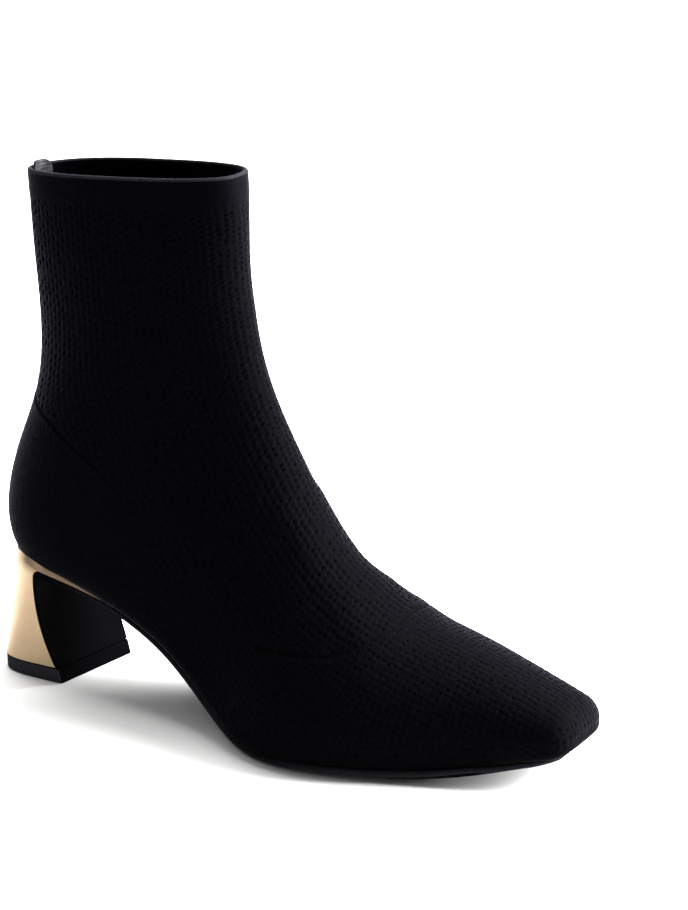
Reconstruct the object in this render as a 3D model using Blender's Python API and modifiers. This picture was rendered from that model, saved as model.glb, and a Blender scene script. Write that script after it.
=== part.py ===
"""Elastic ankle boot for the right foot: a knitted sock upper on a thin sole with a plated heel.

Real size in metres, +Z up, toe towards +X, the wearer's left towards +Y. The last is a table of
sections in millimetres, measured from the back of the heel seat, and every piece is worked out from it.
"""
import bmesh
import bpy
import numpy as np

MM = 0.001
OBJECT_NAME = "elastic_ankle_boot"
# The heel seat's zero point seen from the middle of the standing boot, in mm
FRAME_X = -117.77
FRAME_Y = 9.05

# Sizes that drive the pieces, in mm
WALL = 1.8
GAP = 0.3
WELT_HEIGHT = 11.0
WELT_STEP = 0.5
WELT_SLOPE = 1.2
TOE_TIP_X = 244.6
TOE_PLAN_SQUARE = 3.2
TOE_PROFILE_ROUND = 2.2
LASTING_EDGE = 0.72
INSOLE_THICK = 1.6
INSOLE_GAP = 0.5
INSOLE_EDGE = 0.88
INSOLE_TOE_X = 229.0
INSOLE_HEEL_X = 6.0
INSOLE_TOE_SQUARE = 0.25
INSOLE_HEEL_ROUND = 0.55
OPENING_HEEL_X = 12.0
SOLE_FLAP = 1.2
SOLE_EDGE_TOE = 0.74
SOLE_EDGE_FOREFOOT = 0.965
SOLE_EDGE_HEEL = 0.86
SOLE_FULL_EDGE = 26.0
SOLE_TOE = 0.05
SOLE_TOE_ROUND = 8.0
SOLE_TOE_NARROW = 0.55
SOLE_FEATHER = 0.30
SOLE_FEATHER_POWER = 8
TREAD_GRIND = 0.4
WING_FRONT_X = 50.0
WING_BACK_X = 14.5
WING_DEEP = 2.8
HOOK_RADIUS = 2.0
BREAST_TOP_LEAN = 5.0
BREAST_FOOT_X = 25.0
BREAST_HOLLOW = 17.0
HEEL_BASE_HALF = 20.8
HEEL_BASE_Y = -2.2
HEEL_BACK_X = -8.3
HEEL_BACK_Y = 2.2
HEEL_SEAT_BACK_X = -3.0
HEEL_SQUARE_BASE = 4.5
HEEL_SQUARE_SEAT = 2.8
HEEL_FLARE = 1.5
HEEL_FRONT_PULL = 1.5
HEEL_SKEW = 0.12
SEAT_TIP = 0.02
TOP_PIECE_THICK = 6.0
TOP_PIECE_LEAN = 1.6
TOP_PIECE_BEVEL = 0.6
TAB_WIDTH = 13.0
TAB_DROP = 13.0
TAB_RISE = 1.6
TAB_THICK = 0.9
# Thickness of the sole by the share of its way from the toe to the heel seat
SOLE_THICKNESS = ((0.0, 1.6), (0.2, 3.2), (0.45, 3.2), (0.65, 2.3), (0.85, 1.4), (1.0, 1.2))

# How finely the pieces are cut
BODY_STATIONS = 42
CAP_STATIONS = 6
SOLE_TOE_ROWS = 5
MARGIN_POINTS = 3
SIDE_POINTS = 6
CROWN_POINTS = 9
ARC_SAMPLES = 80
SOLE_COLUMNS = 11
SOLE_ROWS = 28
INSOLE_COLUMNS = 9
INSOLE_ROWS = 24
WING_ROWS = 6
HOOK_ROWS = 7
BREAST_ROWS = 8
HEEL_SIDE_POINTS = 9
TAB_COLUMNS = 7
TAB_ROWS = 6
SHARP_DEGREES = 50
HALVINGS = 50
MERGE = 0.0001
# Row of the table below at which the boot is at its furthest back
HEEL_ROW = 11

# The last, one row for each section from the toe along the foot and up the leg. A section's plane holds
# the back (or bottom) point and the front (or top) point, middle is its place across the foot, lateral and
# medial are its half widths, belly is how far from back to front it is widest, and the two rounds are the
# powers of its curve: 2 is an ellipse and more is squarer.
COLUMNS = ("back_x", "back_z", "front_x", "front_z", "middle", "lateral", "medial", "belly",
           "back_round", "front_round")
SECTIONS = (
    (236.5, 11.4, 236.5, 31.0, -2.0, 20.0, 18.5, 0.36, 4.2, 2.3),   # toe
    (221.0, 8.2, 221.5, 36.4, -2.5, 25.0, 24.0, 0.30, 4.8, 2.2),    # toe box
    (203.0, 5.0, 204.5, 42.0, -3.0, 31.5, 31.0, 0.25, 5.2, 2.1),    # toes
    (178.0, 3.6, 186.0, 47.2, -3.5, 41.5, 38.0, 0.22, 6.0, 2.0),    # joint
    (152.0, 3.6, 167.5, 52.0, -3.5, 49.5, 38.5, 0.19, 6.8, 1.95),   # ball
    (126.0, 3.2, 151.5, 61.8, -2.5, 48.5, 34.5, 0.19, 6.6, 1.9),    # waist front
    (103.0, 10.2, 138.2, 76.0, -1.0, 39.5, 31.0, 0.21, 5.8, 1.9),    # waist
    (78.0, 24.9, 126.8, 92.0, 0.0, 33.5, 30.0, 0.24, 5.0, 1.95),    # arch
    (50.0, 36.2, 117.8, 107.5, 0.5, 30.5, 29.0, 0.28, 4.8, 2.0),    # heel breast
    (22.0, 43.8, 110.8, 121.5, 0.5, 29.5, 28.5, 0.32, 4.6, 2.0),    # heel seat
    (1.0, 49.6, 105.8, 134.5, 0.5, 28.5, 28.0, 0.36, 3.6, 2.0),     # heel edge
    (-8.8, 66.5, 102.4, 146.0, 1.0, 27.5, 27.0, 0.40, 2.5, 2.0),    # heel
    (-4.4, 92.0, 100.0, 157.0, 1.5, 26.0, 26.0, 0.44, 2.2, 2.0),    # above the heel
    (3.6, 115.0, 98.3, 167.5, 1.8, 24.5, 24.5, 0.46, 2.1, 2.0),     # tendon
    (5.6, 138.0, 97.5, 179.0, 2.0, 23.0, 23.5, 0.48, 2.0, 2.0),     # ankle
    (3.6, 168.5, 97.0, 192.5, 1.6, 20.2, 23.2, 0.47, 2.05, 2.25),   # shaft
    (2.2, 202.9, 95.5, 208.2, 0.7, 16.3, 22.9, 0.45, 2.3, 2.75),    # collar
)

# Colour, roughness and metallic value of each piece
FINISHES = {
    "upper": ((0.008, 0.008, 0.010, 1.0), 0.85, 0.0),
    "insole": ((0.012, 0.012, 0.013, 1.0), 0.70, 0.0),
    "outsole": ((0.010, 0.010, 0.011, 1.0), 0.45, 0.0),
    "heel_block": ((0.78, 0.62, 0.42, 1.0), 0.28, 1.0),
    "heel_top_piece": ((0.012, 0.012, 0.014, 1.0), 0.50, 0.0),
    "back_tab": ((0.20, 0.20, 0.21, 1.0), 0.55, 0.0),
}


def spline(knots, rows):
    """Natural cubic spline through the rows, as a function of the distance along the knots."""
    count = len(knots)
    step = np.diff(knots)
    matrix = np.eye(count)
    right = np.zeros(rows.shape)
    for i in range(1, count - 1):
        matrix[i, i - 1:i + 2] = step[i - 1], 2 * (step[i - 1] + step[i]), step[i]
        right[i] = 6 * ((rows[i + 1] - rows[i]) / step[i] - (rows[i] - rows[i - 1]) / step[i - 1])
    bend = np.linalg.solve(matrix, right)

    def at(s):
        i = int(np.clip(np.searchsorted(knots, s) - 1, 0, count - 2))
        b = (s - knots[i]) / step[i]
        a = 1 - b
        sag = ((a ** 3 - a) * bend[i] + (b ** 3 - b) * bend[i + 1]) * step[i] ** 2 / 6
        return a * rows[i] + b * rows[i + 1] + sag

    return at


def mean_steps(table):
    """Distance from row to row, halfway between the back line and the front line."""
    back = np.linalg.norm(np.diff(table[:, 0:2], axis=0), axis=1)
    front = np.linalg.norm(np.diff(table[:, 2:4], axis=0), axis=1)
    return (back + front) / 2


TABLE = np.array(SECTIONS)
KNOTS = np.concatenate([[0.0], np.cumsum(mean_steps(TABLE))])
ROW_AT = spline(KNOTS, TABLE)
LENGTH = KNOTS[-1]
TOE_X = SECTIONS[0][0]
CAP_LENGTH = TOE_TIP_X - TOE_X


def section(s):
    """Named values of the section at s mm from the toe row; below zero it is in the toe cap."""
    row = ROW_AT(max(s, 0.0))
    shrink_width = shrink_height = 1.0
    if s < 0:
        ahead = min(-s / CAP_LENGTH, 1.0)
        row = ROW_AT(0.0) + (ROW_AT(0.0) - ROW_AT(CAP_LENGTH)) * ahead
        row[0] = row[2] = TOE_X + ahead * CAP_LENGTH
        shrink_width = (1 - ahead ** TOE_PLAN_SQUARE) ** (1 / TOE_PLAN_SQUARE)
        shrink_height = (1 - ahead ** TOE_PROFILE_ROUND) ** (1 / TOE_PROFILE_ROUND)
    values = dict(zip(COLUMNS, row))
    swell = WELT_STEP * np.clip((s - LENGTH + WELT_HEIGHT + WELT_SLOPE) / WELT_SLOPE, 0, 1)
    back = row[0:2]
    front = row[2:4]
    chord = (front - back) / max(np.linalg.norm(front - back), GAP)
    values["back"] = back - chord * swell
    values["chord"] = front - back + 2 * chord * swell
    values["lateral"] = (values["lateral"] + swell) * shrink_width
    values["medial"] = (values["medial"] + swell) * shrink_width
    values["shrink_height"] = shrink_height
    return values


def place(values, rise, across):
    """Points of a section: rise is the share from back to front, across is signed, 1 at the half width."""
    half = np.where(across > 0, values["medial"], values["lateral"])
    x = values["back"][0] + values["chord"][0] * rise
    z = values["back"][1] + values["chord"][1] * rise
    return np.stack([x, values["middle"] + across * half, z], axis=-1)


def quarter(values, side, crown, start, stop, count):
    """Evenly spaced points of a quarter of a section between two angles, without the last one."""
    angle = np.linspace(start, stop, ARC_SAMPLES)
    power = 2 / values["front_round" if crown else "back_round"]
    reach = 1 - values["belly"] if crown else -values["belly"]
    along = np.abs(np.cos(angle)) ** power * values["shrink_height"]
    points = place(values, values["belly"] + reach * along, side * np.abs(np.sin(angle)) ** power)
    run = np.concatenate([[0.0], np.cumsum(np.linalg.norm(np.diff(points, axis=0), axis=1))])
    even = np.linspace(0, run[-1], count + 1)[:-1]
    return np.stack([np.interp(even, run, points[:, k]) for k in range(3)], axis=1)


def ring(s):
    """Closed section of the upper's outside, from the bottom by the lateral side, the top and the medial."""
    values = section(s)
    widest = np.pi / 2
    margin = np.arcsin(LASTING_EDGE ** (values["back_round"] / 2))
    return np.concatenate([
        quarter(values, -1, False, 0, margin, MARGIN_POINTS),
        quarter(values, -1, False, margin, widest, SIDE_POINTS),
        quarter(values, -1, True, widest, 0, CROWN_POINTS),
        quarter(values, 1, True, 0, widest, CROWN_POINTS),
        quarter(values, 1, False, widest, margin, SIDE_POINTS),
        quarter(values, 1, False, margin, 0, MARGIN_POINTS),
    ])


def bottom_row(s, across):
    """Points on the underside of the section at s, for signed shares of its half width."""
    values = section(s)
    power = values["back_round"]
    along = (1 - np.abs(across) ** power) ** (1 / power) * values["shrink_height"]
    return place(values, values["belly"] * (1 - along), across)


def spread(count):
    """Shares across a piece from -1 to 1, closer together towards its edges."""
    return np.sin(np.linspace(-np.pi / 2, np.pi / 2, count))


def station_at(x):
    """Distance along the boot where the bottom line passes x, on the foot and heel seat."""
    low, high = -CAP_LENGTH, KNOTS[HEEL_ROW]
    for _ in range(HALVINGS):
        middle = (low + high) / 2
        if section(middle)["back"][0] > x:
            low = middle
        else:
            high = middle
    return low


def outward(grid):
    """Unit normals of a grid of points whose rows run from toe to heel and columns from lateral to medial."""
    normal = np.cross(np.gradient(grid, axis=0), np.gradient(grid, axis=1))
    return normal / np.linalg.norm(normal, axis=-1, keepdims=True)


def add_object(name, bm):
    """Object of a mesh drawn in mm, placed in the boot's frame with its own material."""
    bmesh.ops.translate(bm, verts=bm.verts, vec=(FRAME_X, FRAME_Y, 0))
    bmesh.ops.scale(bm, verts=bm.verts, vec=(MM, MM, MM))
    mesh = bpy.data.meshes.new(name)
    bm.to_mesh(mesh)
    bm.free()
    mesh.shade_smooth()
    mesh.set_sharp_from_angle(angle=np.radians(SHARP_DEGREES))
    obj = bpy.data.objects.new(name, mesh)
    bpy.data.collections[OBJECT_NAME].objects.link(obj)
    colour, roughness, metallic = FINISHES[name]
    material = bpy.data.materials.new(name)
    material.use_nodes = True
    shader = material.node_tree.nodes["Principled BSDF"]
    shader.inputs["Base Color"].default_value = colour
    shader.inputs["Roughness"].default_value = roughness
    shader.inputs["Metallic"].default_value = metallic
    mesh.materials.append(material)
    return obj


def thicken(obj, thickness, offset):
    """Wall of even thickness on an open surface."""
    wall = obj.modifiers.new("wall", "SOLIDIFY")
    wall.thickness = thickness * MM
    wall.offset = offset
    wall.use_even_offset = True


def grid_verts(bm, grid):
    return [[bm.verts.new(point) for point in row] for row in grid]


def quads(bm, rows, flip=False):
    """Faces between neighbouring rows of vertices."""
    for upper, lower in zip(rows[:-1], rows[1:]):
        for k in range(len(upper) - 1):
            face = [upper[k], upper[k + 1], lower[k + 1], lower[k]]
            bm.faces.new(face[::-1] if flip else face)


def sheet_solid(name, top, bottom):
    """Closed solid between two grids of points with the same rows and columns."""
    bm = bmesh.new()
    above = grid_verts(bm, top)
    below = grid_verts(bm, bottom)
    quads(bm, above)
    quads(bm, below, flip=True)
    for side in (0, -1):
        quads(bm, [above[side], below[side]])
        quads(bm, [[row[side] for row in above], [row[side] for row in below]])
    bmesh.ops.recalc_face_normals(bm, faces=bm.faces)
    add_object(name, bm)


def build_upper():
    """Knitted upper: one wall, open at the collar and underneath inside the lasting edge."""
    welt = LENGTH - WELT_HEIGHT
    cap = [-CAP_LENGTH * np.sin(np.pi / 2 * k / CAP_STATIONS) for k in range(CAP_STATIONS - 1, 0, -1)]
    body = list(np.linspace(0, welt - WELT_SLOPE, BODY_STATIONS))
    stations = cap + body + [welt, LENGTH - WELT_HEIGHT / 2, LENGTH]
    bm = bmesh.new()
    rings = grid_verts(bm, [ring(s) for s in stations])
    tip = bm.verts.new(ring(-CAP_LENGTH)[0])
    count = len(rings[0])
    opening = range(len(cap), int(np.searchsorted(stations, station_at(OPENING_HEEL_X))))
    for i, (near, far) in enumerate(zip(rings[:-1], rings[1:])):
        for k in range(count):
            under = k < MARGIN_POINTS or k >= count - MARGIN_POINTS
            if under and i in opening:
                continue
            following = (k + 1) % count
            bm.faces.new((near[k], near[following], far[following], far[k]))
    for k in range(count):
        bm.faces.new((tip, rings[0][(k + 1) % count], rings[0][k]))
    loose = [v for v in bm.verts if not v.link_faces]
    bmesh.ops.delete(bm, geom=loose, context="VERTS")
    upper = add_object("upper", bm)
    thicken(upper, WALL, -1)


def build_insole():
    """Thin board that lies inside on the lasting edge."""
    shares = spread(INSOLE_COLUMNS)
    start, stop = station_at(INSOLE_TOE_X), station_at(INSOLE_HEEL_X)
    rows = []
    for turn in np.linspace(-np.pi / 2, np.pi / 2, INSOLE_ROWS)[1:-1]:
        reach = INSOLE_EDGE * np.cos(turn) ** (INSOLE_TOE_SQUARE if turn < 0 else INSOLE_HEEL_ROUND)
        s = (start + stop) / 2 + (stop - start) / 2 * np.sin(turn)
        rows.append(bottom_row(s, shares * reach))
    grid = np.array(rows)
    grid -= outward(grid) * (WALL + INSOLE_GAP)
    bm = bmesh.new()
    quads(bm, grid_verts(bm, grid))
    insole = add_object("insole", bm)
    thicken(insole, INSOLE_THICK, 1)


def sole_ribbon():
    """Hidden side of the outsole, from the toe to the heel seat and down the breast of the heel."""
    shares = spread(SOLE_COLUMNS)
    toe = -CAP_LENGTH * SOLE_TOE
    front, back = station_at(WING_FRONT_X), station_at(WING_BACK_X)
    turn = np.linspace(0, np.pi / 2, SOLE_TOE_ROWS + 1)[:-1]
    stations = np.concatenate([toe + SOLE_TOE_ROUND * (1 - np.cos(turn)),
                               np.linspace(toe + SOLE_TOE_ROUND, front, SOLE_ROWS),
                               np.linspace(front, back, WING_ROWS + 1)[1:]])
    reach = np.interp(stations, [toe, SOLE_FULL_EDGE, front],
                      [SOLE_EDGE_TOE, SOLE_EDGE_FOREFOOT, SOLE_EDGE_HEEL])
    reach[:SOLE_TOE_ROWS] *= SOLE_TOE_NARROW + (1 - SOLE_TOE_NARROW) * np.sin(turn)
    under = np.array([bottom_row(s, shares * r) for s, r in zip(stations, reach)])
    wing = WING_DEEP * np.clip((stations - front) / (back - front), 0, 1)
    under += outward(under) * (GAP + wing)[:, None, None]
    # The sole hooks round below the heel seat and runs down the hollow breast as a flap
    last = under[-1]
    centre = last[SOLE_COLUMNS // 2]
    heading = centre - under[-2][SOLE_COLUMNS // 2]
    start = np.arctan2(heading[2], heading[0]) - np.pi / 2
    stop = np.radians(180 + BREAST_TOP_LEAN)
    pivot = centre[[0, 2]] - HOOK_RADIUS * np.array([np.cos(start), np.sin(start)])
    angles = np.linspace(start, stop, HOOK_ROWS + 1)[1:]
    hook = [pivot + HOOK_RADIUS * np.array([np.cos(a), np.sin(a)]) for a in angles]
    lean = np.radians(BREAST_TOP_LEAN)
    bend = hook[-1] + BREAST_HOLLOW * np.array([np.sin(lean), -np.cos(lean)])
    foot = np.array([BREAST_FOOT_X, TOP_PIECE_THICK + GAP])
    shares_down = np.linspace(0, 1, BREAST_ROWS + 1)[1:]
    breast = [(1 - t) ** 2 * hook[-1] + 2 * t * (1 - t) * bend + t * t * foot for t in shares_down]
    path = np.array(hook + breast)
    run = np.cumsum(np.linalg.norm(np.diff(path, axis=0, prepend=[centre[[0, 2]]]), axis=1))
    crown = last - centre
    rows = []
    for point, share in zip(path, run / run[-1]):
        half = (1 - share) * crown[:, 1] + share * HEEL_BASE_HALF * shares
        middle = (1 - share) * centre[1] + share * HEEL_BASE_Y
        x = point[0] + crown[:, 0] * (1 - share) + HEEL_SKEW * share * half
        z = point[1] + crown[:, 2] * (1 - share)
        rows.append(np.stack([x, middle + half, z], axis=1))
    return np.concatenate([under, np.array(rows)]), stations


def build_outsole(ribbon, stations):
    """Thin sole with a flat tread, a feather edge and a flap down the breast of the heel."""
    shares = spread(SOLE_COLUMNS)
    under_rows = len(stations)
    thick = np.full(len(ribbon), SOLE_FLAP)
    thick[:under_rows] = np.interp(stations / stations[-1], *zip(*SOLE_THICKNESS))
    feather = 1 - SOLE_FEATHER * np.abs(shares) ** SOLE_FEATHER_POWER
    visible = ribbon + outward(ribbon) * (thick[:, None] * feather[None, :])[:, :, None]
    visible[:under_rows, :, 2] = np.maximum(visible[:under_rows, :, 2] - TREAD_GRIND, 0)
    visible[-1, :, 2] = ribbon[-1, :, 2]
    sheet_solid("outsole", ribbon, visible)


def heel_base(front):
    """Lateral and medial sides of the heel's base, each from an end of its straight front to the back."""
    turn = np.linspace(0, np.pi / 2, HEEL_SIDE_POINTS + 1)
    power = 2 / HEEL_SQUARE_BASE
    along = np.sin(turn) ** power
    across = np.cos(turn) ** power
    sides = []
    for end in (front[0], front[-1]):
        x = end[0] + (HEEL_BACK_X - end[0]) * along
        y = HEEL_BACK_Y + (end[1] - HEEL_BACK_Y) * across
        sides.append(np.stack([x, y], axis=1))
    return sides


def heel_seat(stations):
    """Top of the heel block under the upper, from the tip of its wing to the rounded back."""
    turn = np.linspace(0, np.pi / 2, HEEL_SIDE_POINTS + 1)[1:]
    power = 2 / HEEL_SQUARE_SEAT
    room = station_at(HEEL_SEAT_BACK_X) - stations[-1]
    along = np.concatenate([stations[-WING_ROWS:], stations[-1] + room * np.sin(turn) ** power])
    reach = np.concatenate([np.ones(WING_ROWS), np.maximum(np.cos(turn), SEAT_TIP) ** power])
    shares = spread(SOLE_COLUMNS) * SOLE_EDGE_HEEL
    seat = np.array([bottom_row(s, shares * r) for s, r in zip(along, reach)])
    seat += outward(seat) * GAP
    seat[-1] = seat[-1][SOLE_COLUMNS // 2]
    return seat


def build_heel(ribbon, stations):
    """Plated heel block: its seat follows the upper, its front the sole's flap, and it flares to the base."""
    front = (ribbon - outward(ribbon) * GAP)[len(stations) - WING_ROWS:]
    front[-1, :, 2] = TOP_PIECE_THICK + GAP
    seat = heel_seat(stations)
    centre = np.concatenate([seat[WING_ROWS - 1:WING_ROWS], front[WING_ROWS - 1:]])[:, SOLE_COLUMNS // 2]
    run = np.cumsum(np.linalg.norm(np.diff(centre, axis=0), axis=1))
    bm = bmesh.new()
    seat_verts = grid_verts(bm, seat)
    front_verts = grid_verts(bm, front)
    quads(bm, seat_verts)
    quads(bm, [seat_verts[0]] + front_verts)
    back = []
    foot_rows = []
    for column, base in zip((0, -1), heel_base(front[-1])):
        quads(bm, [[row[column] for row in verts[:WING_ROWS]] for verts in (seat_verts, front_verts)])
        top = seat[WING_ROWS - 1:, column]
        foot = np.column_stack([base, np.full(len(base), front[-1, 0, 2])])
        wall = [[row[column] for row in seat_verts[WING_ROWS - 1:]]]
        for j, depth in enumerate(run / run[-1]):
            edge = front[WING_ROWS - 1 + j, column]
            flare = np.array([depth ** HEEL_FLARE, depth ** HEEL_FLARE, depth])
            plain = top + (foot - top) * flare
            forward = (plain[:, :1] - plain[-1, 0]) / (plain[0, 0] - plain[-1, 0])
            points = plain + forward ** HEEL_FRONT_PULL * (edge - plain[0])
            verts = [front_verts[WING_ROWS - 1 + j][column]] + [bm.verts.new(p) for p in points[1:-1]]
            if column == 0:
                back.append(bm.verts.new(points[-1]))
            wall.append(verts + [back[j]])
        quads(bm, wall)
        foot_rows.append(wall[-1])
    bm.faces.new(front_verts[-1] + foot_rows[1][1:] + foot_rows[0][-2:0:-1])
    bmesh.ops.remove_doubles(bm, verts=bm.verts, dist=MERGE)
    bmesh.ops.recalc_face_normals(bm, faces=bm.faces)
    add_object("heel_block", bm)


def build_top_piece(ribbon):
    """Wearing piece under the heel, level with the block's sides and the flap's face."""
    foot = ribbon[-1].copy()
    foot[:, 0] += SOLE_FLAP
    levels = ((TOP_PIECE_THICK, 0.0, 1.0), (TOP_PIECE_BEVEL, TOP_PIECE_LEAN, 1.0),
              (0.0, TOP_PIECE_LEAN, 1 - TOP_PIECE_BEVEL / HEEL_BASE_HALF))
    bm = bmesh.new()
    loops = []
    for z, lean, scale in levels:
        lateral, medial = heel_base(foot + [lean, 0, 0])
        outline = np.concatenate([lateral, medial[-2::-1]])
        middle = outline.mean(axis=0)
        loops.append([bm.verts.new((*(middle + (p - middle) * scale), z)) for p in outline])
    for upper, lower in zip(loops[:-1], loops[1:]):
        for k in range(len(upper)):
            following = (k + 1) % len(upper)
            bm.faces.new((upper[k], upper[following], lower[following], lower[k]))
    bm.faces.new(loops[0])
    bm.faces.new(loops[-1][::-1])
    bmesh.ops.recalc_face_normals(bm, faces=bm.faces)
    add_object("heel_top_piece", bm)


def build_tab():
    """Short tape sewn inside the back of the collar, standing a little above the rim."""
    half_width = section(LENGTH)["lateral"]
    shares = np.linspace(-1, 1, TAB_COLUMNS) * TAB_WIDTH / 2 / half_width
    rim = bottom_row(LENGTH, shares)
    below = bottom_row(LENGTH - WELT_HEIGHT / 2, shares)
    climb = rim - below
    climb /= np.linalg.norm(climb, axis=1, keepdims=True)
    grid = np.array([rim + climb * h for h in np.linspace(-TAB_DROP, TAB_RISE, TAB_ROWS)])
    grid -= outward(grid) * (WALL + GAP + WELT_STEP)
    bm = bmesh.new()
    quads(bm, grid_verts(bm, grid))
    tab = add_object("back_tab", bm)
    thicken(tab, TAB_THICK, 1)


def main():
    for obj in list(bpy.data.objects):
        bpy.data.objects.remove(obj, do_unlink=True)
    collection = bpy.data.collections.new(OBJECT_NAME)
    bpy.context.scene.collection.children.link(collection)
    build_upper()
    build_insole()
    ribbon, stations = sole_ribbon()
    build_outsole(ribbon, stations)
    build_heel(ribbon, stations)
    build_top_piece(ribbon)
    build_tab()


main()
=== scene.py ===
"""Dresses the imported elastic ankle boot: waffle-knit upper, lining, insole, sole, plated heel and back tab.

Sizes of the last are in millimetres, measured from the back of the heel seat as in the part's source: x to
the toe, y to the wearer's left, z up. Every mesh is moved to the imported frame, in metres, as it is made.
"""

import bmesh
import bpy
import numpy as np
from mathutils import Matrix, Vector


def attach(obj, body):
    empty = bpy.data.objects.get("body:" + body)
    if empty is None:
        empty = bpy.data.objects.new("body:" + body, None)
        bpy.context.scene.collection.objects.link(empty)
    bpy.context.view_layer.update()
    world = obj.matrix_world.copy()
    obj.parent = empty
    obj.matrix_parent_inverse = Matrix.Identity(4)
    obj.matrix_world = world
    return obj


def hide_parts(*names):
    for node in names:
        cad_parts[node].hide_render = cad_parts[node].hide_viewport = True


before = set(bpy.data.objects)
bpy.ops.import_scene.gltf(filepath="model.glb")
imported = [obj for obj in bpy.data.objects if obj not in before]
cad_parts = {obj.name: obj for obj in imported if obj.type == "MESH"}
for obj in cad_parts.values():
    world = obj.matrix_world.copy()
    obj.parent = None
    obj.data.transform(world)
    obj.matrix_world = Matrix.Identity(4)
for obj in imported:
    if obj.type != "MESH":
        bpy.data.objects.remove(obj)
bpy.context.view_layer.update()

bl_info = {
    "name": "Elastic Ankle Boot",
    "version": (1, 0, 0),
    "blender": (4, 5, 0),
    "location": "3D View > Sidebar > Boot",
    "description": "Knits, lines, soles and heels the packed ankle boot and sets its stage",
    "category": "Object",
}

MM = 0.001
BODY = "root"
# The heel seat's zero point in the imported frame, in mm
FRAME_SHIFT = np.array([-117.77, 9.05, 0.0])

# The last, one row for each section from the toe along the foot and up the leg: the plane's back (or bottom)
# and front (or top) points, place across the foot, half widths, widest share and the powers of its curve
COLUMNS = ("back_x", "back_z", "front_x", "front_z", "middle", "lateral", "medial", "belly",
           "back_round", "front_round")
SECTIONS = (
    (236.5, 11.4, 236.5, 31.0, -2.0, 20.0, 18.5, 0.36, 4.2, 2.3),   # toe
    (221.0, 8.2, 221.5, 36.4, -2.5, 25.0, 24.0, 0.30, 4.8, 2.2),    # toe box
    (203.0, 5.0, 204.5, 42.0, -3.0, 31.5, 31.0, 0.25, 5.2, 2.1),    # toes
    (178.0, 3.6, 186.0, 47.2, -3.5, 41.5, 38.0, 0.22, 6.0, 2.0),    # joint
    (152.0, 3.6, 167.5, 52.0, -3.5, 49.5, 38.5, 0.19, 6.8, 1.95),   # ball
    (126.0, 3.2, 151.5, 61.8, -2.5, 48.5, 34.5, 0.19, 6.6, 1.9),    # waist front
    (103.0, 10.2, 138.2, 76.0, -1.0, 39.5, 31.0, 0.21, 5.8, 1.9),   # waist
    (78.0, 24.9, 126.8, 92.0, 0.0, 33.5, 30.0, 0.24, 5.0, 1.95),    # arch
    (50.0, 36.2, 117.8, 107.5, 0.5, 30.5, 29.0, 0.28, 4.8, 2.0),    # heel breast
    (22.0, 43.8, 110.8, 121.5, 0.5, 29.5, 28.5, 0.32, 4.6, 2.0),    # heel seat
    (1.0, 49.6, 105.8, 134.5, 0.5, 28.5, 28.0, 0.36, 3.6, 2.0),     # heel edge
    (-8.8, 66.5, 102.4, 146.0, 1.0, 27.5, 27.0, 0.40, 2.5, 2.0),    # heel
    (-4.4, 92.0, 100.0, 157.0, 1.5, 26.0, 26.0, 0.44, 2.2, 2.0),    # above the heel
    (3.6, 115.0, 98.3, 167.5, 1.8, 24.5, 24.5, 0.46, 2.1, 2.0),     # tendon
    (5.6, 138.0, 97.5, 179.0, 2.0, 23.0, 23.5, 0.48, 2.0, 2.0),     # ankle
    (3.6, 168.5, 97.0, 192.5, 1.6, 20.2, 23.2, 0.47, 2.05, 2.25),   # shaft
    (2.2, 202.9, 95.5, 208.2, 0.7, 16.3, 22.9, 0.45, 2.3, 2.75),    # collar
)
HEEL_EDGE_ROW = 10
HEEL_ROW = 11
TENDON_ROW = 13

# Sizes shared with the part's source: lengths in mm, edges as shares of the half width
WALL = 1.8
GAP = 0.3
TOE_TIP_X = 244.6
TOE_PLAN_SQUARE = 3.2
TOE_PROFILE_ROUND = 2.2
LASTING_EDGE = 0.72
OPENING_HEEL_X = 12.0
INSOLE_THICK = 1.6
INSOLE_GAP = 0.5
INSOLE_EDGE = 0.88
INSOLE_TOE_X = 229.0
INSOLE_HEEL_X = 6.0
INSOLE_TOE_SQUARE = 0.25
INSOLE_HEEL_ROUND = 0.55
SOLE_FLAP = 1.2
SOLE_EDGE_TOE = 0.74
SOLE_EDGE_FOREFOOT = 0.965
SOLE_EDGE_HEEL = 0.86
SOLE_FULL_EDGE = 26.0
SOLE_TOE = 0.05
SOLE_TOE_ROUND = 8.0
SOLE_TOE_NARROW = 0.55
SOLE_FEATHER = 0.30
SOLE_FEATHER_POWER = 8
SOLE_THICKNESS = ((0.0, 1.6), (0.2, 3.2), (0.45, 3.2), (0.65, 2.3), (0.85, 1.4), (1.0, 1.2))
TREAD_GRIND = 0.4
WING_FRONT_X = 50.0
WING_BACK_X = 14.5
WING_DEEP = 2.8
HOOK_RADIUS = 2.0
BREAST_TOP_LEAN = 5.0
BREAST_FOOT_X = 25.0
BREAST_HOLLOW = 17.0
HEEL_BASE_HALF = 20.8
HEEL_BASE_Y = -2.2
HEEL_BACK_X = -8.3
HEEL_BACK_Y = 2.2
HEEL_SEAT_BACK_X = -3.0
HEEL_SQUARE_BASE = 4.5
HEEL_SQUARE_SEAT = 2.8
HEEL_FLARE = 1.5
HEEL_FRONT_PULL = 1.5
HEEL_SKEW = 0.12
SEAT_TIP = 0.02
TOP_PIECE_THICK = 6.0
TOP_PIECE_LEAN = 1.6
TAB_DROP = 13.0
TAB_RISE = 1.6
TAB_THICK = 0.9

# Sizes that are drawn here alone, in mm: the welt, with a soft lower edge, turns in at the collar
WELT_HEIGHT = 12.5
WELT_STEP = 0.2
WELT_FADE = 4.0
TURN_IN = 13.0
TAB_WIDTH = 11.0
TAB_CORNER = 3.5
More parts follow.
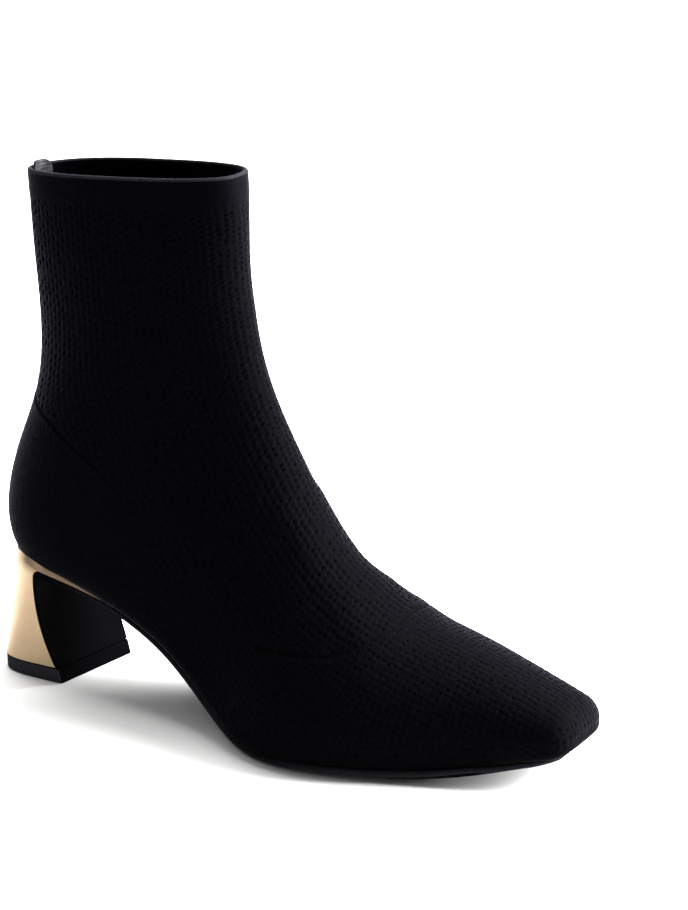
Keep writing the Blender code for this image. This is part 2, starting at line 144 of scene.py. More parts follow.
# The lining starts this share of the way into the toe cap, laps the turned-in welt and clears the wall
LINING_TOE = 0.3
LINING_LAP = 1.5
LINING_CLEAR = 0.05
# Roundings of the crisp edges
INSOLE_ROUNDING = 0.5
SOLE_ROUNDING = 0.25
HEEL_ROUNDING = 0.35
TOP_PIECE_ROUNDING = 0.6
TAB_ROUNDING = 0.3

# How finely the pieces are cut
ARC_SAMPLES = 240
HALF_COLUMNS = 264
KNIT_STEP = 0.5
CAP_STATIONS = 40
KNIT_PIECES = ("knit_toe", "knit_vamp", "knit_ankle", "knit_leg")
LINING_COLUMNS = 64
LINING_STEP = 3.0
RIM_ROWS = 9
TUCK_SKIP = 4
SOLE_COLUMNS = 41
SOLE_TOE_ROWS = 18
SOLE_ROWS = 110
WING_ROWS = 18
HOOK_ROWS = 18
BREAST_ROWS = 26
HEEL_SIDE_POINTS = 30
INSOLE_COLUMNS = 33
INSOLE_ROWS = 90
TAB_COLUMNS = 19
TAB_ROWS = 26
HALVINGS = 50
ROUNDING_SEGMENTS = 3
SHARP_DEGREES = 35

# Seams of the knit, as x and z on the side of the boot: the heel pocket's and the vamp's. Each fades from
# one x to another, and the vamp's is softer towards its top
HEEL_SEAM = ((-6.0, 119.5), (6.0, 115.5), (23.9, 108.4), (44.9, 96.2), (58.0, 87.8), (64.0, 82.0),
             (67.0, 74.0), (68.0, 60.0), (68.0, 20.0))
HEEL_SEAM_FADE = (44.0, 62.0)
VAMP_SEAM = ((92.0, 52.0), (110.4, 44.5), (126.0, 41.6), (142.0, 41.6), (157.0, 42.6), (164.0, 44.2),
             (169.0, 46.4), (172.2, 48.8), (174.0, 53.0))
VAMP_SEAM_FADE = (132.0, 112.0)
VAMP_SEAM_TOP = (154.0, 170.0)
VAMP_SEAM_SOFT = 0.6
# A seam's half width and depth, the lip beside it, in mm, and how dark its line is, which is also the painted
# shade in a sharp crease
SEAM_WIDE = 0.55
SEAM_DEEP = 0.45
SEAM_LIP = 1.5
SEAM_LIP_RISE = 0.14
SEAM_DARK_AND_CREASE_SHADE = 0.8
# How far the knit on both sides of a seam is mixed at its clear end, and how much more at its faded one
SEAM_BLUR = (0.6, 9.0)

# The heel pocket's knit runs round a straight-sided outline with a half round back
POCKET_RADIUS = 27.0
POCKET_CENTRE_X = 18.0
# Pitches of the pocket's and the vamp's knit as shares of the leg's
POCKET_FINE = 0.76
VAMP_FINE = 0.86
# How the hollows lie: how far the rows climb from column to column, the size of a hollow, if grooves run
# down the columns or along the rows, and their share of the depth; sizes in pitches
LEG_WEAVE = {"climb": 1 / 3, "pit": 0.26, "ribbed": True, "groove": 0.16}
VAMP_WEAVE = {"climb": 0.0, "pit": 0.27, "ribbed": False, "groove": 0.28}
POCKET_WEAVE = {"climb": 0.0, "pit": 0.26, "ribbed": True, "groove": 0.25}
GROOVE_WIDE = 0.19
# Lowest and highest depth of a hollow, and its shift across and along, dealt out over so many cells
UNEVEN = ((0.40, 1.3), (-0.14, 0.14), (-0.14, 0.14))
UNEVEN_CELLS = (97, 89)
UNEVEN_SEED = 7
# How much painted shade the hollows of the vamp and the pocket get, beside 1 for the leg's
VAMP_PAINTED_SHADE = 0.75
POCKET_PAINTED_SHADE = 0.6
# The knit is pulled smooth over the lasting edge between these turns. That ends within this distance of
# the heel edge, and the smooth knit gets painted shade, growing between these x
LASTING_TURN = (0.72, 1.0)
LASTING_BLEND = 6.0
LASTING_PAINTED_SHADE = (70.0, 130.0)
# The main creases by their x and z in the side view, half width and rise in mm: a trough below zero, a ridge
# above it. One narrower than the sharp width gets painted shade as dark as a seam's line
CREASES = (
    (((76.0, 150.0), (79.0, 136.0), (86.0, 112.0), (92.5, 91.0)), 9.0, -0.8),   # before the ankle bone
    (((58.0, 128.0), (64.0, 108.0), (70.0, 92.0)), 9.0, 0.4),                   # ankle bone
    (((124.0, 86.0), (138.0, 69.0), (152.0, 56.0), (164.0, 47.0)), 4.0, 0.8),   # pulled along the instep
    (((158.0, 57.6), (164.0, 53.9), (168.0, 51.8)), 11.0, 3.0),                 # bridge over the bend
    (((96.0, 118.0), (108.0, 104.0), (117.0, 92.0)), 7.0, -0.35),               # front of the ankle
    (((172.6, 49.8), (174.0, 53.0)), 0.9, -0.4),                                # nick at the seam's top
)
SHARP_CREASE = 2.0
# Power with which the columns are drawn together towards the back of the leg
DRAW_IN = 3
# Arc from the top of the toe to its tip, as a share of the way forward and down, and where the columns of
# the toe's front take over
TOE_ARC = 0.8
TOE_BLEND = (-3.0, 3.0)


def linear(code):
    """Linear colour with full alpha from an sRGB hex code."""
    srgb = [int(code[i:i + 2], 16) / 255 for i in (1, 3, 5)]
    return (*[c / 12.92 if c <= 0.04045 else ((c + 0.055) / 1.055) ** 2.4 for c in srgb], 1.0)


def length_property(name, description, default, least=0.0):
    """Length in metres that a user can change."""
    return bpy.props.FloatProperty(
        name=name, description=description, default=default, min=least, unit="LENGTH")


class BootKnit(bpy.types.PropertyGroup):
    """Sizes of the waffle knit."""

    pitch: length_property("Waffle pitch", "From one hollow of the knit to the next", 0.0030, least=0.0015)
    leg_depth: length_property("Leg depth", "Depth of the hollows on the leg and instep", 0.00050)
    vamp_depth: length_property("Vamp depth", "Depth of the hollows in front of the vamp seam", 0.00036)
    heel_depth: length_property("Heel depth", "Depth of the hollows on the heel pocket", 0.00020)
    wales: bpy.props.IntProperty(
        name="Wales", description="Columns of hollows on each half of the shaft", default=39, min=10)


def colour_property(name, description, code):
    """Colour that a user can change, with an sRGB hex code as its default."""
    return bpy.props.FloatVectorProperty(
        name=name, description=description, subtype="COLOR", size=4, default=linear(code))


class BootColours(bpy.types.PropertyGroup):
    """Colours of the boot's materials."""

    yarn: colour_property("Yarn", "Top of the knit", "#020204")
    # Painted shade, laid on the knit's hollows, sharp creases and lasting edge, and the colour of its seam
    # lines
    hollow: colour_property("Hollow", "Bottom of the knit's hollows", "#010101")
    # A painted highlight along the collar's folded edge
    fold: colour_property("Fold", "Stretched yarn on the collar's folded edge", "#1E1E22")
    lining: colour_property("Lining", "Brushed lining inside", "#050506")
    insole: colour_property("Insole", "Cover of the insole", "#2A2A2E")
    plating: colour_property("Plating", "Gold on the heel block", "#A58F73")
    sole: colour_property("Sole", "Sole, breast flap and front of the top piece", "#020203")
    # A painted highlight along the sole's lower edge
    painted_edge_highlight: colour_property("Worn edge", "Lower edge of the sole, ground and paler", "#202024")
    # Painted light on the sides of the heel's top piece, whose front keeps the plain black
    painted_lit_sides: colour_property("Trimmed side", "Cut sides of the heel's top piece", "#2A2A2E")
    # The tape's mottling is painted glints and shade
    tape: colour_property("Tape", "Tape of the back tab, in the middle of its mottling", "#131315")
    floor: colour_property("Floor", "Studio floor", "#F4F4F3")


def spline(knots, rows):
    """Natural cubic spline through the rows, as a function of the distance along the knots."""
    count = len(knots)
    step = np.diff(knots)
    matrix = np.eye(count)
    right = np.zeros(rows.shape)
    for i in range(1, count - 1):
        matrix[i, i - 1:i + 2] = step[i - 1], 2 * (step[i - 1] + step[i]), step[i]
        right[i] = 6 * ((rows[i + 1] - rows[i]) / step[i] - (rows[i] - rows[i - 1]) / step[i - 1])
    bend = np.linalg.solve(matrix, right)

    def at(s):
        i = int(np.clip(np.searchsorted(knots, s) - 1, 0, count - 2))
        b = (s - knots[i]) / step[i]
        a = 1 - b
        sag = ((a ** 3 - a) * bend[i] + (b ** 3 - b) * bend[i + 1]) * step[i] ** 2 / 6
        return a * rows[i] + b * rows[i + 1] + sag

    return at


def mean_steps(table):
    """Distance from row to row, halfway between the back line and the front line."""
    back = np.linalg.norm(np.diff(table[:, 0:2], axis=0), axis=1)
    front = np.linalg.norm(np.diff(table[:, 2:4], axis=0), axis=1)
    return (back + front) / 2


TABLE = np.array(SECTIONS)
KNOTS = np.concatenate([[0.0], np.cumsum(mean_steps(TABLE))])
ROW_AT = spline(KNOTS, TABLE)
LENGTH = KNOTS[-1]
TOE_X = SECTIONS[0][0]
CAP_LENGTH = TOE_TIP_X - TOE_X


def section(s):
    """Named values of the section at s mm from the toe row; below zero it is in the toe cap."""
    row = ROW_AT(max(s, 0.0))
    shrink_width = shrink_height = 1.0
    if s < 0:
        ahead = min(-s / CAP_LENGTH, 1.0)
        row = ROW_AT(0.0) + (ROW_AT(0.0) - ROW_AT(CAP_LENGTH)) * ahead
        row[0] = row[2] = TOE_X + ahead * CAP_LENGTH
        shrink_width = (1 - ahead ** TOE_PLAN_SQUARE) ** (1 / TOE_PLAN_SQUARE)
        shrink_height = (1 - ahead ** TOE_PROFILE_ROUND) ** (1 / TOE_PROFILE_ROUND)
    values = dict(zip(COLUMNS, row))
    values["back"] = row[0:2]
    values["chord"] = row[2:4] - row[0:2]
    values["lateral"] *= shrink_width
    values["medial"] *= shrink_width
    values["shrink_height"] = shrink_height
    return values


def place(values, rise, across):
    """Points of a section: rise is the share from back to front, across is signed, 1 at the half width."""
    half = np.where(across > 0, values["medial"], values["lateral"])
    x = values["back"][0] + values["chord"][0] * rise
    z = values["back"][1] + values["chord"][1] * rise
    return np.stack([x, values["middle"] + across * half, z], axis=-1)


def half_ring(values, side, count):
    """Even points of half a section from its back to its front, their turns, from 0 at the back to 2 at the
    front, and its length."""
    angle = np.linspace(0, np.pi / 2, ARC_SAMPLES)
    low = 2 / values["back_round"]
    high = 2 / values["front_round"]
    belly = values["belly"]
    fall = angle[-2::-1]
    lower = belly * (1 - np.cos(angle) ** low * values["shrink_height"])
    upper = belly + (1 - belly) * np.cos(fall) ** high * values["shrink_height"]
    across = side * np.concatenate([np.sin(angle) ** low, np.sin(fall) ** high])
    points = place(values, np.concatenate([lower, upper]), across)
    run = np.concatenate([[0.0], np.cumsum(np.linalg.norm(np.diff(points, axis=0), axis=1))])
    even = np.linspace(0, run[-1], count)
    turn = np.interp(even, run, np.linspace(0, 2, len(run)))
    return np.stack([np.interp(even, run, points[:, k]) for k in range(3)], axis=1), turn, run[-1]


def shell(stations, half_columns):
    """Grid of the upper's outside, its turns and its halves' lengths: a row for each station, from the back
    round by the lateral side, the front and the medial side to the back again."""
    rows, turns, lengths = [], [], []
    for s in stations:
        values = section(s)
        lateral, turn, lateral_length = half_ring(values, -1, half_columns + 1)
        medial, medial_turn, medial_length = half_ring(values, 1, half_columns + 1)
        rows.append(np.concatenate([lateral, medial[-2::-1]]))
        turns.append(np.concatenate([turn, medial_turn[-2::-1]]))
        lengths.append((lateral_length, medial_length))
    return np.array(rows), np.array(turns), np.array(lengths)


def ring_normals(grid):
    """Outward unit normals of a grid whose first and last columns are one line."""
    wrapped = np.concatenate([grid[:, -2:-1], grid, grid[:, 1:2]], axis=1)
    around = wrapped[:, 2:] - wrapped[:, :-2]
    normal = np.cross(around, np.gradient(grid, axis=0))
    if np.allclose(grid[0], grid[0, 0]):
        normal[0] = normal[1].mean(axis=0)
    return normal / np.linalg.norm(normal, axis=-1, keepdims=True)


def outward(grid):
    """Unit normals of a grid of points whose rows run from toe to heel and columns from lateral to medial."""
    normal = np.cross(np.gradient(grid, axis=0), np.gradient(grid, axis=1))
    return normal / np.linalg.norm(normal, axis=-1, keepdims=True)


def bottom_row(s, across):
    """Points on the underside of the section at s, for signed shares of its half width."""
    values = section(s)
    power = values["back_round"]
    along = (1 - np.abs(across) ** power) ** (1 / power) * values["shrink_height"]
    return place(values, values["belly"] * (1 - along), across)


def spread(count):
    """Shares across a piece from -1 to 1, closer together towards its edges."""
    return np.sin(np.linspace(-np.pi / 2, np.pi / 2, count))


def station_at(x):
    """Distance along the boot where the bottom line passes x, on the foot and heel seat."""
    low, high = -CAP_LENGTH, KNOTS[HEEL_ROW]
    for _ in range(HALVINGS):
        middle = (low + high) / 2
        if section(middle)["back"][0] > x:
            low = middle
        else:
            high = middle
    return low


def ease(value, start, stop):
    """Smooth share from 0 at start to 1 at stop."""
    t = np.clip((value - start) / (stop - start), 0, 1)
    return t * t * (3 - 2 * t)


def beside(points, line):
    """Signed distance in the side view from each point to a line of x and z points: positive on its left."""
    flat = points[..., [0, 2]]
    best = np.full(flat.shape[:-1], np.inf)
    signed = np.zeros(flat.shape[:-1])
    for start, stop in zip(np.array(line[:-1]), np.array(line[1:])):
        way = stop - start
        share = np.clip(((flat - start) @ way) / (way @ way), 0, 1)
        off = flat - start - share[..., None] * way
        distance = np.linalg.norm(off, axis=-1)
        side = np.sign(way[0] * off[..., 1] - way[1] * off[..., 0])
        signed = np.where(distance < best, distance * side, signed)
        best = np.minimum(best, distance)
    return signed


def waffle(across, along, pitch, weave, uneven):
    """Share of full depth in the knit's hollows, which lie a pitch apart. The rows climb by a share of it
    from column to column, and grooves join the hollows into ribs or into cross rows."""
    across = across / pitch
    column = np.round(across)
    climbed = along / pitch - column * weave["climb"]
    row = np.round(climbed)
    depth, aside, ahead = uneven[:, column.astype(int) % uneven.shape[1], row.astype(int) % uneven.shape[2]]
    a = across - column
    b = climbed - row
    pit = np.exp(-((a - aside) / weave["pit"]) ** 2 - ((b - ahead) / weave["pit"]) ** 2)
    groove = weave["groove"] * np.exp(-((a if weave["ribbed"] else b) / GROOVE_WIDE) ** 2)
    return depth * np.maximum(pit, groove)


def crease_relief(points):
    """Height in mm that the creases add at each point, and how far each point lies in a sharp one, which gets
    painted shade.
    """
    height = np.zeros(points.shape[:-1])
    sharp = np.zeros(points.shape[:-1])
    for line, wide, rise in CREASES:
        share = np.exp(-(beside(points, line) / wide) ** 2)
        height += rise * share
        if wide < SHARP_CREASE:
            sharp = np.maximum(sharp, share)
    return height, sharp


def seam_sides(points, line, fade):
    """Signed distance from a seam, the share of the knit on its right, which mixes with the left where the
    seam fades, and how clear the seam is."""
    gap = beside(points, line)
    faded = ease(points[..., 0], *fade)
    blur = SEAM_BLUR[0] + SEAM_BLUR[1] * faded
    return gap, ease(-gap, -blur, blur), 1 - faded


def toe_lattice(points):
    """Places in mm across and along the toe's front, where the columns go straight on and down."""
    drop = TABLE[0, COLUMNS.index("front_z")] - points[..., 2]
    across = points[..., 1] - TABLE[0, COLUMNS.index("middle")]
    return across, -(points[..., 0] - TOE_X + drop) * TOE_ARC


def knit_relief(points, stations, turns, lengths, knit):
    """Height of the knit above the last in mm, and its painted shade from 0 to 1 at each point of the shell:
    in the hollows, in sharp creases and by the lasting edge, with the seams' dark lines.
    """
    pitch = knit.pitch / MM
    half = turns.shape[1] // 2
    share = np.abs(np.arange(turns.shape[1]) - half) / half
    s = np.repeat(stations[:, None], turns.shape[1], axis=1)
    side = np.where(np.arange(turns.shape[1]) < half, -1.0, 1.0)
    own = np.where(side < 0, lengths[:, :1], lengths[:, 1:])
    # On the leg all columns run down from the welt; on the foot they are laid on either side of the top line
    shaft = ease(s, KNOTS[HEEL_EDGE_ROW], KNOTS[TENDON_ROW])
    across = side * (share * own - shaft * (own - knit.wales * pitch) * share ** DRAW_IN)

    # The heel pocket is knitted with its columns upright
    behind = np.arctan2(np.abs(points[..., 1]), POCKET_CENTRE_X - points[..., 0])
    round_back = POCKET_RADIUS * np.minimum(behind, np.pi / 2)
    pocket_across = round_back + np.maximum(points[..., 0] - POCKET_CENTRE_X, 0)

    lows, highs = np.array(UNEVEN).T[:, :, None, None]
    uneven = np.random.default_rng(UNEVEN_SEED).uniform(lows, highs, (len(UNEVEN), *UNEVEN_CELLS))
    leg = waffle(across, s, pitch, LEG_WEAVE, uneven)
    on_front = 1 - ease(s, *TOE_BLEND)
    vamp = waffle(across, s, pitch * VAMP_FINE, VAMP_WEAVE, uneven)
    toe = waffle(*toe_lattice(points), pitch * VAMP_FINE, VAMP_WEAVE, uneven)
    vamp = vamp * (1 - on_front) + toe * on_front
    pocket = waffle(pocket_across, points[..., 2], pitch * POCKET_FINE, POCKET_WEAVE, uneven)

    heel_gap, in_pocket, heel_line = seam_sides(points, HEEL_SEAM, HEEL_SEAM_FADE)
    vamp_gap, in_vamp, vamp_line = seam_sides(points, VAMP_SEAM, VAMP_SEAM_FADE)
    in_vamp *= 1 - in_pocket
    leg *= (1 - in_vamp) * (1 - in_pocket)
    vamp *= in_vamp * (1 - in_pocket)
    pocket *= in_pocket
    hollow = leg * knit.leg_depth + vamp * knit.vamp_depth + pocket * knit.heel_depth
    # The knit is pulled smooth over the lasting edge, and the welt is plain
    heel_edge = KNOTS[HEEL_EDGE_ROW]
    foot = 1 - ease(s, heel_edge - LASTING_BLEND, heel_edge + LASTING_BLEND)
    lasting = foot * (1 - ease(turns, *LASTING_TURN))
    smooth = 1 - lasting
    rim_x, rim_z, rim_front_x, rim_front_z = TABLE[-1, :4]
    rim_height = rim_z + (points[..., 0] - rim_x) * (rim_front_z - rim_z) / (rim_front_x - rim_x)
    welt = 1 - ease(rim_height - points[..., 2], WELT_HEIGHT - WELT_FADE, WELT_HEIGHT)
    smooth = smooth * (1 - welt)
    crease, sharp = crease_relief(points)
    height = WELT_STEP * welt - hollow * smooth / MM
    # The hollows get painted shade, less on the vamp and the pocket
    dark = (leg + vamp * VAMP_PAINTED_SHADE + pocket * POCKET_PAINTED_SHADE) * smooth
    # Sharp creases, and the smooth knit by the lasting edge, get painted shade
    dark = np.maximum(dark, np.maximum(SEAM_DARK_AND_CREASE_SHADE * sharp, lasting * ease(points[..., 0], *LASTING_PAINTED_SHADE)))

    vamp_line *= 1 - VAMP_SEAM_SOFT * ease(points[..., 0], *VAMP_SEAM_TOP)
    for gap, strength in ((heel_gap, heel_line), (vamp_gap, vamp_line)):
        trough = np.exp(-(gap / SEAM_WIDE) ** 2) * strength
        lip = np.exp(-((gap + SEAM_LIP) / SEAM_WIDE) ** 2) * strength
        height = height * (1 - trough) - SEAM_DEEP * trough + SEAM_LIP_RISE * lip
        dark = np.maximum(dark, SEAM_DARK_AND_CREASE_SHADE * trough)
    return height + crease, np.clip(dark, 0, 1)


def to_mesh(name, points, faces):
    """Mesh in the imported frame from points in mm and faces."""
    mesh = bpy.data.meshes.new(name)
    mesh.from_pydata((np.asarray(points) + FRAME_SHIFT) * MM, [], faces)
    mesh.shade_smooth()
    return mesh


def add_map(mesh, name, places):
    """UV map from one place for each vertex."""
    corners = np.empty(len(mesh.loops), dtype=np.int32)
    mesh.loops.foreach_get("vertex_index", corners)
    layer = mesh.uv_layers.new(name=name)
    layer.uv.foreach_set("vector", places[corners].astype(np.float32).ravel())


def add_value(mesh, name, amounts, domain="POINT"):
    """Named amount for each point or face."""
    attribute = mesh.attributes.new(name, "FLOAT", domain)
    attribute.data.foreach_set("value", np.asarray(amounts, np.float32).ravel())


def grid_quads(rows, columns):
    """Corner numbers of the quads between neighbouring points of a grid."""
    corner = np.arange(rows * columns).reshape(rows, columns)
    return np.stack([corner[:-1, :-1], corner[:-1, 1:], corner[1:, 1:], corner[1:, :-1]], axis=-1)


def grid_mesh(name, points, keep=None, normals=None, maps=None, values=None):
    """Mesh of a grid of points, with the quads that keep marks, given normals, UV maps and values."""
    quads = grid_quads(*points.shape[:2])
    quads = quads.reshape(-1, 4) if keep is None else quads[keep]
    used, faces = np.unique(quads, return_inverse=True)
    mesh = to_mesh(name, points.reshape(-1, 3)[used], faces.reshape(-1, 4).tolist())
    for title, places in (maps or {}).items():
        add_map(mesh, title, places.reshape(-1, 2)[used])
    for title, amounts in (values or {}).items():
        add_value(mesh, title, amounts.reshape(-1)[used])
    if normals is not None:
        mesh.normals_split_custom_set_from_vertices(normals.reshape(-1, 3)[used].tolist())
    return mesh


# Room that a map leaves along the sides of the unit square
MAP_MARGIN = 0.01


def unit_map(rows, columns):
    """A place inside the unit square for each point of a grid."""
    sides = [np.linspace(MAP_MARGIN, 1 - MAP_MARGIN, count) for count in (rows, columns)]
    v, u = np.meshgrid(*sides, indexing="ij")
    return np.stack([u, v], axis=-1)


def sheet_faces(rows, columns):
    """Faces of a closed solid between two grids, the first one's points before the second one's."""
    top = grid_quads(rows, columns).reshape(-1, 4)
    corner = np.arange(rows * columns).reshape(rows, columns)
    rim = np.concatenate([corner[0, :-1], corner[:-1, -1], corner[-1, :0:-1], corner[:0:-1, 0]])
    following = np.roll(rim, -1)
    count = rows * columns
    sides = np.stack([rim, following, following + count, rim + count], axis=-1)
    return np.concatenate([top, top[:, ::-1] + count, sides]).tolist()


def slab_mesh(name, first, second):
    """Mesh of a closed solid between two grids of points."""
    points = np.concatenate([first.reshape(-1, 3), second.reshape(-1, 3)])
    return to_mesh(name, points, sheet_faces(*first.shape[:2]))


def finish_solid(mesh):
    """Joined points, outward faces and smooth shading, before the crisp edges are rounded."""
    bm = bmesh.new()
    bm.from_mesh(mesh)
    bmesh.ops.remove_doubles(bm, verts=bm.verts, dist=MM * MM)
    bmesh.ops.recalc_face_normals(bm, faces=bm.faces)
    bm.to_mesh(mesh)
    bm.free()
    mesh.shade_smooth()


def add_object(name, data):
    """Object in the scene."""
    thing = bpy.data.objects.new(name, data)
    bpy.context.scene.collection.objects.link(thing)
    return thing


def add_piece(mesh, material, node, rounding=None):
    """Object for a mesh that rides on the boot, stands for a node and takes its finish from a slot. Where a
    rounding is given, in mm, its crisp edges get it."""
    piece = add_object(mesh.name, mesh)
    mesh.materials.append(material)
    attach(piece, BODY)
    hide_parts(node)
    if rounding:
        bevel = piece.modifiers.new("rounding", "BEVEL")
        bevel.width = rounding * MM
        bevel.segments = ROUNDING_SEGMENTS
        bevel.limit_method = "ANGLE"
        bevel.angle_limit = np.radians(SHARP_DEGREES)
        bevel.use_clamp_overlap = True
        bevel.harden_normals = True


SHADER = "Principled BSDF"


def new_material(name, **sockets):
    """Material with a Principled shader whose sockets, named with underscores, take plain values."""
    material = bpy.data.materials.new(name)
    material.use_nodes = True
    for socket, value in sockets.items():
        material.node_tree.nodes[SHADER].inputs[socket.replace("_", " ")].default_value = value
    return material


def add_node(material, kind, inputs=None, outputs=None, **settings):
    """Node with its settings. Its inputs take plain values or sockets, and its outputs are linked to the
    named sockets of the shader."""
    tree = material.node_tree
    node = tree.nodes.new(kind)
    for name, value in settings.items():
        setattr(node, name, value)
    for name, value in (inputs or {}).items():
        if isinstance(value, bpy.types.NodeSocket):
            tree.links.new(value, node.inputs[name])
        else:
            node.inputs[name].default_value = value
    for name, socket in (outputs or {}).items():
        tree.links.new(node.outputs[name], tree.nodes[SHADER].inputs[socket])
    return node


# A wave texture turns once in this distance at scale 1
WAVE_TURN = 2 * np.pi / 20
# A Mix node's colour sockets go by number, because each kind of data has its own under the same names
MIX_A = 6
MIX_B = 7
MIX_RESULT = 2
# The middle of a noise's range, which is stretched over the tones of a material
NOISE_SPAN = (0.3, 0.7)


def vary_colour(material, colour, pattern, tones, span=NOISE_SPAN):
    """Base colour that a pattern turns darker and lighter, from one tone to the other over a span of its
    range. Returns the tone's socket."""
    tone = add_node(material, "ShaderNodeMapRange", inputs={
        "Value": pattern, "From Min": span[0], "From Max": span[1], "To Min": tones[0], "To Max": tones[1]})
    add_node(material, "ShaderNodeVectorMath", operation="SCALE", inputs={
        0: colour, "Scale": tone.outputs["Result"]}, outputs={"Vector": "Base Color"})
    return tone.outputs["Result"]


def add_grain(material, where, width, detail, strength, depth, rough=0.7):
    """Uneven relief of a given width and depth. Returns its pattern's socket."""
    grain = add_node(material, "ShaderNodeTexNoise", inputs={
        "Vector": where, "Scale": 1 / width, "Detail": detail, "Roughness": rough})
    add_node(material, "ShaderNodeBump", inputs={
        "Strength": strength, "Distance": depth, "Height": grain.outputs["Fac"]},
        outputs={"Normal": "Normal"})
    return grain.outputs["Fac"]


def add_threads(material, where, spacings, wander, strength, depth):
    """Relief of threads that cross, with their spacings, how far each way wanders and their depth."""
    columns, rows = [add_node(material, "ShaderNodeTexWave", bands_direction=way, inputs={
        "Vector": where, "Scale": WAVE_TURN / spacing, "Distortion": bend, "Detail": 1.0,
        "Detail Scale": 2.0}) for way, spacing, bend in zip("XY", spacings, wander)]
    crossed = add_node(material, "ShaderNodeMath", operation="MULTIPLY", inputs={
        0: columns.outputs["Fac"], 1: rows.outputs["Fac"]})
    add_node(material, "ShaderNodeBump", inputs={
        "Strength": strength, "Distance": depth, "Height": crossed.outputs["Value"]},
        outputs={"Normal": "Normal"})


def knit_material(colours):
    """Textured polyester yarn, flat knitted in a waffle: matt and near black, with painted shade in its
    hollows and creases, dark seam lines and a painted highlight along the collar's fold, and the fibres
    catching a soft pale sheen where the surface turns away."""
    material = new_material(
        "polyester_yarn_waffle_knit", Roughness=0.78, Specular_IOR_Level=0.01, Sheen_Roughness=0.26,
        Sheen_Tint=linear("#E2D2F4"))
    hollow = add_node(material, "ShaderNodeAttribute", attribute_name="hollow").outputs["Fac"]
    fold = add_node(material, "ShaderNodeAttribute", attribute_name="fold").outputs["Fac"]
    on_knit = add_node(material, "ShaderNodeUVMap", uv_map="knit").outputs["UV"]
    # The yarn turns to the shade colour where the shade is painted
    waffled = add_node(material, "ShaderNodeMix", data_type="RGBA", inputs={
        "Factor": hollow, MIX_A: colours.yarn, MIX_B: colours.hollow})
    yarn = add_node(material, "ShaderNodeMix", data_type="RGBA", inputs={
        "Factor": fold, MIX_A: waffled.outputs[MIX_RESULT], MIX_B: colours.fold})
    # Loose fibres and uneven loops vary the yarn over some 2.4 mm, and its bloom with it
    loops = 2.4 * MM
    mottle = add_node(material, "ShaderNodeTexNoise", inputs={
        "Vector": on_knit, "Scale": 1 / loops, "Detail": 4.0, "Roughness": 0.6})
    tone = vary_colour(material, yarn.outputs[MIX_RESULT], mottle.outputs["Fac"], tones=(0.60, 1.40))
    # The sheen is turned down where the shade is painted, as in the hollows
    bloom = add_node(material, "ShaderNodeMapRange", inputs={
        "Value": hollow, "To Min": 0.15, "To Max": 0.008})
    add_node(material, "ShaderNodeMath", operation="MULTIPLY", inputs={
        0: bloom.outputs["Result"], 1: tone}, outputs={"Value": "Sheen Weight"})
    # Stitches are about 0.7 mm wide; they are drawn 1.1 mm wide to show at the size of the picture
    stitch = 1.1 * MM
    add_threads(material, on_knit, (stitch, stitch), wander=(0.6, 0.8), strength=0.6, depth=0.12 * MM)
    return material


def lining_material(colours):
    """Brushed polyester jersey: a short black nap with no shine but a faint bloom at the edges."""
    material = new_material(
        "polyester_jersey_brushed", Roughness=0.92, Specular_IOR_Level=0.02, Sheen_Weight=0.03,
        Sheen_Roughness=0.6, Sheen_Tint=linear("#8A8A90"))
    where = add_node(material, "ShaderNodeTexCoord").outputs["Object"]
    # The tufts of the nap are about 0.5 mm wide; they are drawn 1.5 mm wide to show
    tuft = 1.5 * MM
    nap = add_grain(material, where, tuft, detail=4.0, strength=0.6, depth=0.15 * MM)
    vary_colour(material, colours.lining[:3], nap, tones=(0.6, 1.3))
    return material


def insole_material(colours):
    """Microfibre suede on foam, napped: a fine short pile, dark grey, with slight pressed patches."""
    material = new_material(
        "microfibre_suede_napped", Roughness=0.88, Specular_IOR_Level=0.15, Sheen_Weight=0.25,
        Sheen_Roughness=0.5, Sheen_Tint=linear("#9A9AA0"))
    where = add_node(material, "ShaderNodeTexCoord").outputs["Object"]
    # The pile's tufts are about 0.3 mm wide; they are drawn 0.9 mm wide to show
    pile = 0.9 * MM
    add_grain(material, where, pile, detail=3.0, strength=0.5, depth=0.1 * MM)
    # The foot presses it in patches of some 18 mm
    pressed = 18 * MM
    patches = add_node(material, "ShaderNodeTexNoise", inputs={
        "Vector": where, "Scale": 1 / pressed, "Detail": 3.0})
    vary_colour(material, colours.insole[:3], patches.outputs["Fac"], tones=(0.75, 1.25))
    return material


def plating_material(colours):
    """ABS electroplated in pale gold and satin lacquered: a warm metal gleam, softened, with a very slight
    unevenness from the moulding."""
    material = new_material("abs_gold_plated_satin", Metallic=1.0, Base_Color=colours.plating)
    where = add_node(material, "ShaderNodeTexCoord").outputs["Object"]
    # The lacquer is hazy in patches of some 7 mm, and the moulding ripples over some 3 mm
    patch = 7 * MM
    sink = 3 * MM
    haze = add_node(material, "ShaderNodeTexNoise", inputs={
        "Vector": where, "Scale": 1 / patch, "Detail": 5.0, "Roughness": 0.6})
    add_node(material, "ShaderNodeMapRange", inputs={
        "Value": haze.outputs["Fac"], "From Min": 0.25, "From Max": 0.75, "To Min": 0.40, "To Max": 0.48},
        outputs={"Result": "Roughness"})
    add_grain(material, where, sink, detail=2.0, strength=0.08, depth=0.1 * MM, rough=0.5)
    return material


